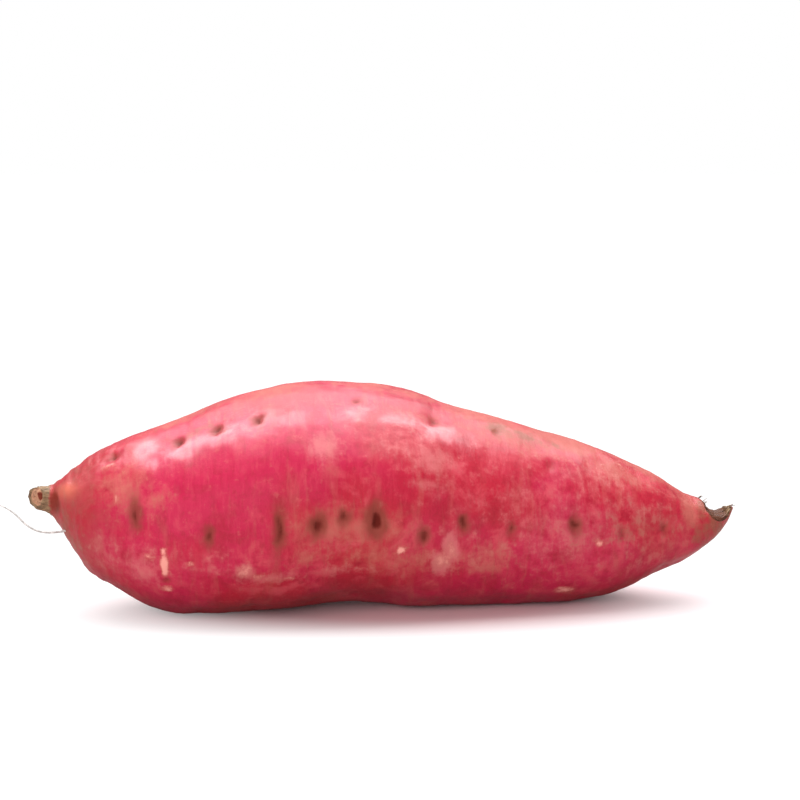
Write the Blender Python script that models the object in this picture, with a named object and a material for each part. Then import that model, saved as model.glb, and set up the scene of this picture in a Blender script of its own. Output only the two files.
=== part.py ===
"""A red-skinned sweet potato as it lies on a table: one solid, as it grew.

The root lies along X with the stub of its stem at -X and its broken tail at +X. Z is up,
the table is at z = 0, and the origin is under the middle of its box. The three driving
dimensions are in metres. The form itself is drawn in millimetres from the stem end, and
fitted to them at the end. An angle round the root starts at the side that faces -Y, and
rises over the top.
"""

import math
import random

import bmesh
import bpy
import numpy as np
from mathutils import Matrix, Vector, noise

# Driving dimensions, in metres
LENGTH = 0.190
WIDTH = 0.064
THICKNESS = 0.0605

# The outline, in millimetres: distance from the stem end, half height, height of the middle
# and sideways place of the middle
STEM = (
    (3.1, 0.0, 31.4, 0.0),
    (2.5, 1.3, 31.4, 0.0),
    (2.8, 2.7, 31.4, 0.0),
    (3.8, 3.1, 31.4, 0.0),
    (5.6, 3.5, 31.1, 0.0),
    (8.2, 5.4, 30.6, 0.0),
    (10.8, 8.4, 29.3, 0.0),
    (15.1, 13.9, 27.1, -0.2),
    (21.6, 18.4, 26.8, -0.6),
)
BODY = (
    (30.2, 22.8, 26.0, -1.2),
    (43.7, 26.9, 26.6, -1.6),
    (56.0, 29.3, 28.6, -1.4),
    (69.0, 30.2, 30.0, -0.8),
    (84.0, 29.6, 30.1, 0.0),
    (100.0, 28.8, 29.2, 0.8),
    (117.0, 26.2, 26.2, 1.4),
    (134.0, 23.8, 23.4, 1.6),
    (147.4, 21.5, 21.5, 1.2),
)
TAIL = (
    (158.5, 18.0, 20.7, 0.6),
    (167.1, 14.1, 20.6, 0.0),
    (173.6, 10.7, 19.5, -0.4),
    (178.2, 8.3, 19.3, -0.8),
    (182.0, 6.6, 20.4, -1.0),
    (186.0, 4.2, 21.8, -1.0),
    (189.0, 1.6, 23.2, -0.8),
    (190.0, 0.0, 23.9, -0.8),
)

# The stem was cut on a slant that faces the front: how far the cut leans, and where that fades out
CUT_LEAN = 0.9
CUT_FADE = (2.8, 8.6)

# The broken tail: a ball that is wide across the root carves its upper side and leaves a lip below
BREAK_CENTRE = (185.0, -1.5, 26.0)
BREAK_RADIUS = 3.8
BREAK_WIDENING = 2.2
BREAK_RAGGED = 0.3

# Swellings and hollows: distance along, angle, reach along, reach round, height out of the skin
RELIEF = (
    (11.2, 45.0, 2.0, 2.2, 1.0),
    (7.8, 50.0, 1.1, 4.5, -1.0),
    (87.0, -58.0, 12.0, 12.0, -2.2),
    (82.0, -94.0, 15.0, 15.0, -1.0),
    (103.0, -66.0, 6.0, 10.0, 0.6),
    (115.0, 84.0, 9.0, 16.0, -0.7),
    (60.0, 150.0, 16.0, 14.0, -1.6),
    (128.0, 205.0, 13.0, 10.0, -1.4),
    (96.0, 118.0, 14.0, 12.0, 1.0),
    (146.0, 100.0, 8.0, 9.0, 0.4),
    (35.0, 240.0, 9.0, 10.0, -1.0),
)

# Eyes, the scars of side roots, lie in rows: distance along, angle and length of each slit
ROW_ANGLES = (1.0, 66.0, 124.0, 182.0, 240.0, 300.0)
FRONT_EYES = (
    (29.0, 16.0, 6.5),
    (47.5, -1.0, 4.5),
    (65.7, 0.0, 6.5),
    (75.3, -1.0, 4.0),
    (82.2, 3.0, 3.0),
    (90.2, 1.0, 5.0),
    (102.7, -8.0, 4.0),
    (113.0, 3.0, 4.2),
    (126.1, 0.0, 3.2),
    (143.0, 8.0, 4.2),
    (156.4, 4.0, 3.0),
    (168.6, 7.0, 2.6),
)
TOP_EYES = (
    (23.4, 68.0, 3.0),
    (41.2, 65.0, 3.6),
    (50.5, 65.0, 3.6),
    (61.4, 62.0, 4.2),
    (87.1, 71.0, 3.4),
    (106.8, 64.0, 4.0),
    (124.1, 67.0, 3.2),
    (137.2, 45.0, 3.4),
)
HIDDEN_ROWS = ROW_ANGLES[2:]
HIDDEN_REACH = (24.0, 172.0)
HIDDEN_GAP = (11.0, 23.0)
HIDDEN_STRAY = 7.0
HIDDEN_LENGTH = (2.8, 5.2)
EYE_SEED = 11

EYE_HOLLOW_DEPTH, EYE_HOLLOW_ALONG = 0.55, 3.2
EYE_SLIT_DEPTH, EYE_SLIT_ALONG = 0.7, 1.3

# Furrows follow the rows of eyes; lobes and lumps make the skin uneven, and calm down at the ends.
# A lobe is how many there are round the root, their share of its radius, a start and a twist
FURROW_DEPTH, FURROW_WIDTH = 0.45, 10.0
LOBES = ((2, 0.014, 35.0, 0.9), (3, 0.012, 80.0, -1.3), (5, 0.005, 10.0, 2.1))
LUMPS = ((38.0, 1.2), (15.0, 0.4))
CALM_STEM = (7.0, 24.0)
CALM_TAIL = (174.0, 186.0)

# The two low spots that it rests on lie either side of this place, and sink this deep to become flat
REST_DIVIDE = 84.0
REST_DEPTH = 0.7

# The grid: rings lie closer at the two ends, and faces are split round the eyes, then at each slit
SEGMENTS = 40
RINGS = 80
END_FINENESS, END_REACH = 1.9, 10.0
EYE_SPLITS = ((4.2, 5.0), (1.8, 2.8))

SKIN_COLOUR = (0.52, 0.045, 0.09, 1.0)
SKIN_ROUGHNESS = 0.42


def smoothstep(low, high, value):
    share = min(1.0, max(0.0, (value - low) / (high - low)))
    return share * share * (3.0 - 2.0 * share)


def bell(offset, reach):
    return math.exp(-((offset / reach) ** 2))


def turn_between(angle, other):
    """The signed turn from one angle to the other, in degrees."""
    return (other - angle + 180.0) % 360.0 - 180.0


def distance_round(radius, angle, other):
    return radius * math.radians(turn_between(angle, other))


class Outline:
    """The stations joined by smooth curves, as functions of a share of the rings."""

    def __init__(self, stations):
        self.values = np.array(stations, float)
        steps = np.linalg.norm(np.diff(self.values[:, :2], axis=0), axis=1)
        self.knots = np.concatenate([[0.0], np.cumsum(steps)])
        slopes = np.diff(self.values, axis=0) / steps[:, None]
        before, after = steps[:-1, None], steps[1:, None]
        inner = (slopes[:-1] * after + slopes[1:] * before) / (before + after)
        self.slopes = np.concatenate([slopes[:1], inner, slopes[-1:]])
        self.ring_shares, self.ring_places = self.spread_rings()

    def spread_rings(self):
        """The share of the rings used up at each place on the outline, closer at both ends."""
        total = self.knots[-1]
        places = np.linspace(0.0, total, 2001)
        at_ends = np.exp(-places / END_REACH) + np.exp((places - total) / END_REACH)
        used = np.cumsum(1.0 + END_FINENESS * at_ends)
        return (used - used[0]) / (used[-1] - used[0]), places

    def at(self, share):
        """Distance along, half height, height of the middle and its sideways place."""
        place = float(np.interp(share, self.ring_shares, self.ring_places))
        i = int(np.clip(np.searchsorted(self.knots, place) - 1, 0, len(self.knots) - 2))
        step = self.knots[i + 1] - self.knots[i]
        t = (place - self.knots[i]) / step
        return (
            (2 * t**3 - 3 * t**2 + 1) * self.values[i]
            + (t**3 - 2 * t**2 + t) * step * self.slopes[i]
            + (3 * t**2 - 2 * t**3) * self.values[i + 1]
            + (t**3 - t**2) * step * self.slopes[i + 1]
        )


def hidden_eyes():
    """Eyes in the rows that face away from the front, at seeded distances."""
    draw = random.Random(EYE_SEED)
    eyes = []
    for row in HIDDEN_ROWS:
        along = HIDDEN_REACH[0] + draw.uniform(0.0, HIDDEN_GAP[0])
        while along < HIDDEN_REACH[1]:
            angle = row + draw.uniform(-HIDDEN_STRAY, HIDDEN_STRAY)
            eyes.append((along, angle, draw.uniform(*HIDDEN_LENGTH)))
            along += draw.uniform(*HIDDEN_GAP)
    return eyes


def uneven_growth(along, angle, radius):
    """Lobes, lumps and the furrows between the rows of eyes."""
    turn = math.radians(angle)
    height = 0.0
    for count, share, start, twist in LOBES:
        height += radius * share * math.cos(count * turn + math.radians(start + twist * along))
    spot = Vector((along, radius * math.cos(turn), radius * math.sin(turn)))
    for size, amount in LUMPS:
        height += amount * noise.noise(spot / size)
    for row in ROW_ANGLES:
        height -= FURROW_DEPTH * bell(turn_between(row, angle), FURROW_WIDTH)
    return height * smoothstep(*CALM_STEM, along) * (1.0 - smoothstep(*CALM_TAIL, along))


def swellings(along, angle, radius):
    return sum(
        height * bell(along - place, reach_along) * bell(distance_round(radius, centre, angle), reach_round)
        for place, centre, reach_along, reach_round, height in RELIEF
    )


def eye_pits(along, angle, radius, eyes):
    """Each eye is a slit across the root, in a shallow hollow."""
    height = 0.0
    for place, centre, length in eyes:
        offset = along - place
        if abs(offset) < 3.0 * EYE_HOLLOW_ALONG:
            aside = distance_round(radius, centre, angle)
            height -= EYE_HOLLOW_DEPTH * bell(offset, EYE_HOLLOW_ALONG) * bell(aside, 0.8 * length)
            height -= EYE_SLIT_DEPTH * bell(offset, EYE_SLIT_ALONG) * bell(aside, 0.5 * length)
    return height


def broken_off(centre, direction, radius):
    """The radius that is left here once the wide ball has carved the tail."""
    ball_radius = BREAK_RADIUS + BREAK_RAGGED * noise.noise(centre + 3.0 * direction)
    narrow = Vector((1.0, 1.0 / BREAK_WIDENING, 1.0))
    to_ball = (Vector(BREAK_CENTRE) - centre) * narrow
    ray = direction * narrow
    nearest = to_ball.dot(ray) / ray.length_squared
    inside = ball_radius**2 - to_ball.length_squared + nearest**2 * ray.length_squared
    if inside <= 0.0 or nearest <= 0.0:
        return radius
    return min(radius, max(0.4, nearest - math.sqrt(inside) / ray.length))


def skin_point(outline, share, angle, eyes):
    """The point of the skin at a share of the rings and an angle, in millimetres."""
    along, half_height, middle, aside = outline.at(share)
    turn = math.radians(angle)
    centre = Vector((along, aside, middle))
    out = Vector((0.0, -math.cos(turn) * WIDTH / THICKNESS, math.sin(turn)))
    radius = max(0.0, half_height) * out.length
    out.normalize()
    if radius > 0.0:
        radius += uneven_growth(along, angle, radius) + swellings(along, angle, radius)
        radius += eye_pits(along, angle, radius, eyes)
        radius = broken_off(centre, out, max(0.2, radius))
    lean = CUT_LEAN * (1.0 - smoothstep(*CUT_FADE, along))
    return centre + out * radius - Vector((lean * out.y * radius, 0.0, 0.0))


def ball_place(point):
    """The share of the rings and the angle that a point of the unit ball stands for."""
    share = math.acos(max(-1.0, min(1.0, -point.normalized().x))) / math.pi
    return share, math.degrees(math.atan2(point.z, -point.y))


def split_round_eyes(mesh, outline, eyes, reach_along, reach_round):
    """Halves the edges near every eye, while the mesh is still a ball."""
    near = []
    for edge in mesh.edges:
        share, angle = ball_place((edge.verts[0].co + edge.verts[1].co) / 2.0)
        along, radius = outline.at(share)[:2]
        if any(
            abs(along - place) < reach_along and abs(distance_round(radius, centre, angle)) < reach_round
            for place, centre, length in eyes
        ):
            near.append(edge)
    bmesh.ops.subdivide_edges(mesh, edges=near, cuts=1, use_grid_fill=True)


def lay_down(mesh):
    """Tips the root until its two low spots are level, and flattens them on the table."""
    low_spots = [
        min((v.co for v in mesh.verts if (v.co.x < REST_DIVIDE) == near_stem), key=lambda co: co.z).copy()
        for near_stem in (True, False)
    ]
    run = low_spots[1] - low_spots[0]
    bmesh.ops.rotate(
        mesh, verts=mesh.verts, cent=low_spots[0], matrix=Matrix.Rotation(math.atan2(run.z, run.x), 3, "Y")
    )
    bmesh.ops.translate(mesh, verts=mesh.verts, vec=(0.0, 0.0, -low_spots[0].z - REST_DEPTH))
    for vertex in mesh.verts:
        vertex.co.z = max(0.0, vertex.co.z)


def fit_to_size(mesh):
    """Brings the box to the driving dimensions, with the origin under its middle."""
    places = np.array([vertex.co for vertex in mesh.verts])
    low, high = places.min(axis=0), places.max(axis=0)
    middle = (low + high) / 2.0
    bmesh.ops.translate(mesh, verts=mesh.verts, vec=(-middle[0], -middle[1], 0.0))
    bmesh.ops.scale(mesh, verts=mesh.verts, vec=Vector((LENGTH, WIDTH, THICKNESS) / (high - low)))


def root_mesh():
    outline = Outline(STEM + BODY + TAIL)
    eyes = list(FRONT_EYES) + list(TOP_EYES) + hidden_eyes()
    mesh = bmesh.new()
    bmesh.ops.create_uvsphere(
        mesh,
        u_segments=SEGMENTS,
        v_segments=RINGS,
        radius=1.0,
        matrix=Matrix.Rotation(math.radians(-90.0), 4, "Y"),
    )
    for reach_along, reach_round in EYE_SPLITS:
        split_round_eyes(mesh, outline, eyes, reach_along, reach_round)
    for vertex in mesh.verts:
        share, angle = ball_place(vertex.co)
        vertex.co = skin_point(outline, share, angle, eyes)
    lay_down(mesh)
    fit_to_size(mesh)
    bmesh.ops.triangulate(mesh, faces=mesh.faces, quad_method="BEAUTY", ngon_method="BEAUTY")
    bmesh.ops.recalc_face_normals(mesh, faces=mesh.faces)
    data = bpy.data.meshes.new("sweet_potato")
    mesh.to_mesh(data)
    mesh.free()
    data.shade_smooth()
    return data


def skin_material():
    material = bpy.data.materials.new("sweet_potato_skin")
    material.use_nodes = True
    shader = material.node_tree.nodes["Principled BSDF"]
    shader.inputs["Base Color"].default_value = SKIN_COLOUR
    shader.inputs["Roughness"].default_value = SKIN_ROUGHNESS
    return material


def main():
    for old in list(bpy.data.objects):
        bpy.data.objects.remove(old)
    root = bpy.data.objects.new("sweet_potato", root_mesh())
    root.data.materials.append(skin_material())
    bpy.context.scene.collection.objects.link(root)


main()
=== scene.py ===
"""The looks of a red-skinned sweet potato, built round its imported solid.

The skin is grown over the solid as one fine mesh, then carved with the eyes, scars, wrinkles,
cut stem and torn tail of a real root. Lengths are in millimetres, but in metres in the settings
and on the stage. "Along" is the distance from the stem end, and an angle round the root starts
at its front and rises over the top.
"""

import math
import random

import bmesh
import bpy
import numpy as np
from bpy.props import FloatProperty, FloatVectorProperty, PointerProperty
from mathutils import Matrix, Vector, noise
from mathutils.bvhtree import BVHTree


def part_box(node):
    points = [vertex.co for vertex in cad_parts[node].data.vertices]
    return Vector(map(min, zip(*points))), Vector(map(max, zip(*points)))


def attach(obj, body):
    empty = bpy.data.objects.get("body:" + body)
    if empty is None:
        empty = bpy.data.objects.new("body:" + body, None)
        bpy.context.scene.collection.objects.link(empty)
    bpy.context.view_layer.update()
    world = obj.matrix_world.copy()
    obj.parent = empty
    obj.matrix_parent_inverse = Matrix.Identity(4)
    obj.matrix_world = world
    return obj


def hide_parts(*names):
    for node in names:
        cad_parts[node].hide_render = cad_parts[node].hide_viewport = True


bl_info = {
    "name": "Sweet Potato",
    "version": (1, 0, 0),
    "blender": (4, 5, 0),
    "location": "3D View > Sidebar > Sweet Potato",
    "description": "Grows the skin, root hair and torn fibres of a sweet potato over its solid",
    "category": "Add Mesh",
}

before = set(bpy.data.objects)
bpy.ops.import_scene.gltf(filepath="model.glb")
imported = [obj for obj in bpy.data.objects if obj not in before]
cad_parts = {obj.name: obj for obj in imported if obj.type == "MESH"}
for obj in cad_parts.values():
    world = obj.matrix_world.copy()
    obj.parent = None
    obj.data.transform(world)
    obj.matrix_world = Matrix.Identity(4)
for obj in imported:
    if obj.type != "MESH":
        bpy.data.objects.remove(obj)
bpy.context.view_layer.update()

NODE = "sweet_potato"
BODY = "root"
MM = 0.001
MERGE = 0.001
HALF_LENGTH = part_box(NODE)[1][0] / MM

# The grid of the skin: a share of its rings fans out over each end, from a point inset from it
SEGMENTS, RINGS, SUBDIVISIONS = 56, 100, 2
STEM_CAP, TAIL_CAP = 0.10, 0.06
STEM_INSET, TAIL_INSET = 6.5, 1.3
END_CROWDING = 0.25

# The middle line: the height where its search starts, its places, how far off its rays start, and
# how often it is centred and smoothed
LINE_START, LINE_PLACES, LINE_FAR_OFF, LINE_PASSES, LINE_SMOOTHING = 31.7, 180, 300.0, 2, 2

# Near the two ends the skin is drawn back onto the solid, so that the cut and the tear stay crisp
STEM_GRIP = (6.0, 9.0)
TAIL_GRIP = (178.0, 183.0)

# Eyes, the scars of side roots: along, angle, length round the root, darkness
FRONT_EYES = (
    (29.0, 16.0, 7.0, 0.80),
    (47.5, -1.0, 4.6, 0.75),
    (65.7, -2.5, 10.0, 0.80),
    (75.3, -2.5, 5.2, 0.95),
    (82.2, 1.0, 4.0, 0.75),
    (90.2, -0.5, 6.2, 1.35),
    (102.7, -6.5, 4.4, 0.70),
    (113.2, 3.0, 4.2, 0.75),
    (126.1, 0.0, 3.4, 0.60),
    (143.2, 7.0, 5.0, 0.80),
    (156.4, 4.0, 3.0, 0.45),
    (168.6, 7.0, 2.6, 0.45),
)
TOP_EYES = (
    (23.4, 68.0, 3.0, 0.70),
    (40.2, 63.0, 3.6, 0.75),
    (50.0, 62.5, 3.6, 0.75),
    (60.8, 59.5, 4.2, 0.75),
    (87.1, 71.0, 3.4, 0.50),
    (106.8, 64.0, 4.0, 0.50),
    (124.1, 67.0, 3.2, 0.36),
    (137.2, 45.0, 3.4, 0.30),
)
FAINT_EYES = (
    (40.1, 27.0, 3.0, 0.25),
    (49.4, 14.0, 2.6, 0.20),
    (36.9, -25.5, 1.8, 0.50),
)

# The rows that face away from the front: the angle of each, and how plain its eyes are
HIDDEN_ROWS = ((124.0, 1.0), (182.0, 1.0), (240.0, 1.0), (300.0, 0.25))
# Where such a row starts and ends, the gaps in it, and how its eyes stray and differ
HIDDEN_REACH = (24.0, 172.0)
HIDDEN_GAP = (11.0, 23.0)
HIDDEN_STRAY = 7.0
HIDDEN_LENGTH = (2.8, 5.2)
HIDDEN_DARKNESS = (0.3, 0.9)
EYE_SEED = 11

# Before the eyes are carved, the solid's own pits are smoothed away, out to a clearance of each
EYE_SMOOTHING, EYE_CLEARANCE, EYE_SQUASH = 14, 5.0, 0.8

# The hollow, slit and two lips of an eye: shift and reach along, reach round as a share of its
# length, and height as a share of its depth
EYE_PARTS = (
    (0.0, 2.6, 0.75, -0.4),
    (0.0, 0.75, 0.42, -0.75),
    (2.0, 0.9, 0.5, 0.16),
    (-2.0, 0.9, 0.5, 0.16),
)
EYE_LEAST_DEPTH = 0.25

# The marks of an eye: reach along, how much darkness adds to it, reach round as a share of its length
EYE_MARKS = (("eye", 0.6, 0.5, 0.38), ("halo", 1.1, 1.4, 0.75))

# How an eye wavers: the size of the noise, how far that moves it round and along, and its bow
EYE_WAVER, EYE_STRAY_ROUND, EYE_STRAY_ALONG, EYE_BOW = 2.4, 1.2, 0.8, 0.05

# Scraped places that healed pale, and one painted highlight: along, angle, reach along, reach round,
# strength
SCARS = (
    (36.2, -5.8, 0.9, 1.3, 0.85),
    (36.4, -15.2, 0.9, 3.2, 1.1),
    (37.1, -31.0, 1.5, 1.2, 0.65),
    (32.7, -10.0, 1.4, 1.4, 0.55),
    (42.9, -13.7, 0.8, 0.8, 0.7),
    (56.5, -22.0, 2.2, 2.2, 0.5),
    (60.5, -26.0, 3.2, 1.1, 0.42),
    (67.0, -29.5, 5.0, 0.9, 0.36),
    (96.7, -14.6, 1.1, 1.1, 1.2),
    (109.8, -12.5, 1.6, 2.6, 0.42),
    (108.6, -16.5, 1.6, 2.6, 0.38),
    (107.0, -20.5, 1.8, 2.6, 0.40),
    (150.0, -3.8, 1.0, 0.8, 0.7),
    (152.2, 60.3, 0.6, 0.6, 0.6),
    (157.6, 68.3, 0.6, 0.6, 0.6),
    (24.2, 26.0, 0.5, 1.4, 0.5),
    (141.6, -44.8, 2.6, 1.6, 0.85),
    # A painted highlight on the shoulder, drawn as a pale spot
    (22.4, 58.0, 1.6, 1.2, 0.5),
)

# The scars that face away from the front: how many, and the ranges that their values lie in
HIDDEN_SCARS = 16
HIDDEN_SCAR_RANGES = ((28.0, 165.0), (100.0, 320.0), (0.6, 2.6), (0.6, 2.2), (0.3, 0.9))
SCAR_SEED = 5

# How a scar wavers: the size of the noise, and how far that moves it along and round, in its reaches
SCAR_WAVER, SCAR_STRAY_ALONG, SCAR_STRAY_ROUND = 1.8, 0.3, 0.6
SCAR_FLATNESS, SCAR_EDGE, SCAR_RISE = 2.4, (0.2, 0.6), 0.10

# Dusty and scurfy skin, on the top ridge partly a painted sheen: along, angle, reach along, reach round,
# strength, as in the lists after it
DUST_AND_SHEEN = (
    (130.0, 74.0, 22.0, 11.0, 0.9),
    (120.0, 92.0, 15.0, 9.0, 1.2),
    (142.0, 86.0, 14.0, 10.0, 1.3),
    (165.0, 92.0, 13.0, 8.0, 1.1),
    (42.0, 97.0, 15.0, 8.0, 0.9),
    (66.0, 91.0, 13.0, 8.0, 1.0),
    (90.0, 97.0, 14.0, 9.0, 0.9),
    (102.0, 91.0, 9.0, 6.0, 0.9),
    (156.0, 58.0, 14.0, 8.0, 0.8),
    (26.0, 34.0, 8.0, 8.0, 0.9),
    (34.5, 24.0, 5.0, 5.0, 0.7),
    (131.0, 58.0, 14.0, 6.0, 0.6),
    (95.0, -20.0, 24.0, 7.0, 0.75),
    (163.0, 8.0, 14.0, 10.0, 0.55),
    (105.0, 66.0, 16.0, 9.0, 0.45),
    (82.0, -4.0, 22.0, 8.0, 0.85),
    (120.0, -20.0, 10.0, 8.0, 0.8),
    (72.0, -18.0, 8.0, 4.0, 0.7),
    (168.0, -10.0, 14.0, 9.0, 0.6),
    (177.0, 60.0, 5.0, 7.0, 1.0),
    (176.5, 30.0, 3.2, 4.0, 1.4),
    (55.0, 100.0, 20.0, 14.0, 0.5),
    (96.0, 170.0, 34.0, 12.0, 0.6),
    (150.0, 210.0, 14.0, 12.0, 0.5),
    (60.0, 268.0, 28.0, 14.0, 0.6),
)

# Soft pale blotches
BLOTCHES = (
    (77.0, 35.5, 4.6, 5.5, 1.0),
    (105.0, 34.0, 8.0, 6.0, 0.9),
    (128.0, 20.0, 7.0, 6.0, 0.6),
    (148.0, 29.0, 8.0, 6.0, 0.5),
    (104.5, 19.5, 7.0, 2.2, 0.8),
    (135.0, 18.0, 6.0, 4.0, 0.45),
    (31.0, -18.0, 7.0, 7.0, 0.75),
    (56.5, -23.0, 3.4, 3.4, 1.0),
    (64.0, -28.0, 8.0, 2.2, 0.8),
    (82.0, -27.0, 12.0, 3.0, 0.5),
    (109.8, -12.0, 2.5, 4.4, 1.45),
    (107.2, -21.5, 2.8, 4.4, 1.4),
    (118.0, -17.0, 6.0, 6.0, 0.4),
    (112.0, -2.0, 9.0, 6.0, 0.45),
    (112.0, 17.0, 14.0, 6.0, 0.45),
    (160.0, 22.0, 14.0, 6.0, 0.5),
    (136.0, -20.0, 12.0, 6.0, 0.4),
    (163.0, -30.0, 10.0, 6.0, 0.45),
    (142.0, 6.0, 32.0, 20.0, 0.5),
    (96.0, 40.0, 14.0, 6.0, 0.6),
    (150.0, 43.0, 12.0, 6.0, 0.6),
    (45.0, -16.0, 18.0, 9.0, 0.4),
    (22.0, -18.0, 8.0, 9.0, 0.5),
    (90.0, 130.0, 9.0, 8.0, 0.7),
    (48.0, 200.0, 10.0, 7.0, 0.6),
    (140.0, 150.0, 12.0, 8.0, 0.6),
    (110.0, 265.0, 10.0, 7.0, 0.6),
)

# Skin that is a cleaner magenta
MAGENTA_ZONES = (
    (52.0, 30.0, 26.0, 18.0, 1.0),
    (34.0, -20.0, 18.0, 13.0, 0.8),
    (138.0, -25.0, 18.0, 12.0, 0.8),
    (128.0, 30.0, 12.0, 6.0, 0.5),
    (70.0, 150.0, 40.0, 25.0, 0.8),
    (120.0, 250.0, 30.0, 20.0, 0.8),
)

# Waxy skin, which shines
WAXY = (
    (31.8, 67.0, 4.2, 5.0, 1.3),
    (44.0, 50.0, 14.0, 7.0, 1.0),
    (66.0, 56.0, 16.0, 7.0, 0.7),
    (90.0, 56.0, 18.0, 6.0, 0.6),
    (110.0, 50.0, 12.0, 5.0, 0.8),
    (96.0, 128.0, 30.0, 8.0, 0.7),
)

# Browned skin
BROWN_PATCHES = (
    (124.5, 71.0, 5.0, 4.8, 1.0),
    (132.0, 68.0, 6.0, 4.4, 0.9),
    (139.0, 70.0, 5.0, 3.6, 0.7),
    (118.0, 75.0, 4.0, 3.4, 0.65),
    (46.0, 69.0, 8.0, 4.0, 0.6),
    (63.0, 68.0, 5.0, 3.0, 0.5),
    (158.0, 4.0, 22.0, 14.0, 0.45),
    (11.0, -40.0, 5.0, 9.0, 0.6),
    (12.0, 120.0, 6.0, 9.0, 0.7),
    (13.0, 200.0, 6.0, 10.0, 0.8),
    (181.0, 6.0, 3.0, 4.0, 1.0),
    (180.5, 20.0, 2.4, 3.0, 0.8),
    (178.5, -3.0, 2.6, 4.4, 0.95),
    (179.8, 34.0, 2.2, 3.6, 1.1),
    (176.8, 30.0, 2.4, 3.4, 0.6),
    (183.2, 26.0, 1.0, 4.0, 1.5),
    (180.5, 58.0, 2.6, 5.0, 1.1),
    (185.0, -2.0, 1.2, 3.0, 1.5),
)

# Each of these lists, under the mark that it makes on the skin
REGIONS = {
    "dust": DUST_AND_SHEEN,
    "blotch": BLOTCHES,
    "zone": MAGENTA_ZONES,
    "wax": WAXY,
    "brown": BROWN_PATCHES,
}

# The marks that the shader reads: those of the open skin, and those of the two ends
OPEN_MARKS = ("eye", "halo", "scar", *REGIONS)
END_MARKS = ("bark", "neck", "cut", "pith", "crease", "bump", "torn", "lip")

# Relief of the skin: the size of its lumps along and round the root, and their height
LUMPS = ((9.0, 9.0, 0.26), (4.0, 5.0, 0.13), (2.0, 2.6, 0.04), (1.3, 9.0, 0.07))
LUMPS_FROM = (6.0, 14.0)
BARK_RELIEF = ((1.4, 0.9, 0.30), (0.6, 0.5, 0.12))
NECK_FOLDS = ((1.6, 6.0, 0.26), (1.2, 2.0, 0.14))
TORN_RELIEF = ((2.2, 0.9, 0.45), (0.7, 0.4, 0.15))

# The cut face of the stem: the way it looks, how squarely a place has to face that way to be on
# it, how far along it reaches, its middle, and where it turns to rim
CUT_FACING, CUT_LOOKS, CUT_TO = (-0.743, -0.669, 0.0), (0.45, 0.75), 5.4
CUT_MIDDLE, CUT_RIM = (-92.3, 0.0, 31.3), (1.9, 2.8)
RIM_WIDTH, RIM_HEIGHT = 0.5, 0.3

# The pith in the cut face, and the ring round it
PITH_PLACE, PITH_REACH, PITH_DEPTH = (-91.5, -0.9, 31.7), (0.8, 1.5), 0.8
RING_WIDTH, RING_HEIGHT = 0.4, 0.2

# Behind the cut: how far along the bark and the neck reach, and a crease and a bump, each with
# its along, angle, reach along, reach round and height
BARK_TO, NECK_TO = (4.8, 7.6), (11.0, 34.0)
# The crease is also painted dark: a painted shade in its groove
CREASE = (7.4, 6.0, 1.5, 3.6, -0.5)
# The bump is painted paler orange: its own tone together with a painted highlight
BUMP = (11.0, 38.0, 2.8, 2.2, 0.35)

# The torn tail: a hollow that is wide across the root, the width of its edge, where it begins
# along, its pale lip at the tip, and the brown skin before it
TEAR_CENTRE, TEAR_RADIUS, TEAR_WIDENING = (90.1, -1.5, 26.2), 3.8, 2.2
TEAR_EDGE, TEAR_FROM = (0.15, 0.9), 178.0
TEAR_LIP = (186.8, 188.6)
TAIL_BROWN, TAIL_BROWN_STRENGTH = (170.0, 184.0), 0.8

# The root hair: a curve from just inside the skin, and how its thickness changes
HAIR = (
    (-83.6, -5.6, 23.6, 1.3),
    (-85.0, -6.7, 23.4, 1.0),
    (-88.0, -7.3, 23.2, 1.0),
    (-91.2, -7.6, 23.5, 0.95),
    (-93.6, -7.4, 24.5, 0.9),
    (-95.7, -7.0, 26.1, 0.9),
    (-97.3, -6.5, 28.0, 0.8),
    (-99.8, -6.0, 29.8, 0.7),
    (-102.2, -5.3, 30.8, 0.55),
    (-104.8, -4.7, 31.0, 0.25),
)

# Fibres at the two broken ends: a middle, how far round it they start, their heading and number
FIBRE_TUFTS = (
    ((93.9, -0.9, 25.0), 0.8, (0.9, 0.0, 0.5), 4),
    ((86.6, -3.5, 27.2), 1.2, (0.7, -0.3, 0.5), 3),
    ((86.8, 2.0, 27.3), 1.2, (0.7, 0.3, 0.5), 3),
    ((-92.6, 0.3, 33.8), 1.0, (-0.7, -0.2, 0.6), 2),
)
FIBRE_SEED = 3
FIBRE_STRAY, FIBRE_LENGTHS, FIBRE_SUNK, FIBRE_DROOP = 0.45, (0.4, 1.0), 0.3, 0.25

# The points of a fibre beyond its root, as shares of its length and droop, and its taper
FIBRE_POINTS = ((0.33, 0.0), (0.7, 0.4), (1.0, 1.0))
FIBRE_TAPER = (1.2, 1.0, 0.7, 0.3)

# The stage: the camera that the photograph was taken with, and a floor that melts into white
CAMERA_AIM = (0.00394, 0.0, 0.05584)
LENS, SENSOR = 100.0, 36.0
WHITE = (1.0, 1.0, 1.0)
# Beyond an oval round the root the floor glows white, a painted glow that ends the root's shadow there:
# its strength, the oval's stretch and shift, and where the glow starts and is full
FLOOR_RADIUS, FLOOR_SEGMENTS, FLOOR_PAINTED_GLOW = 1.6, 96, 1.15
FLOOR_OVAL, FLOOR_SHIFT, FLOOR_MELT = (0.40, 1.15), -0.003, (0.016, 0.048)

# The lights: where each stands, its size, and whether the skin mirrors it
LIGHTS = {
    "overhead": ((0.0, 0.0, 1.3), (1.3, 0.95), True),
    "key": ((0.0, 0.50, 0.85), (1.2, 0.75), True),
    "fill": ((-0.42, -1.04, 0.42), (1.6, 0.9), False),
}
LIGHT_AIM = (0.0, 0.0, 0.03)


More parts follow.
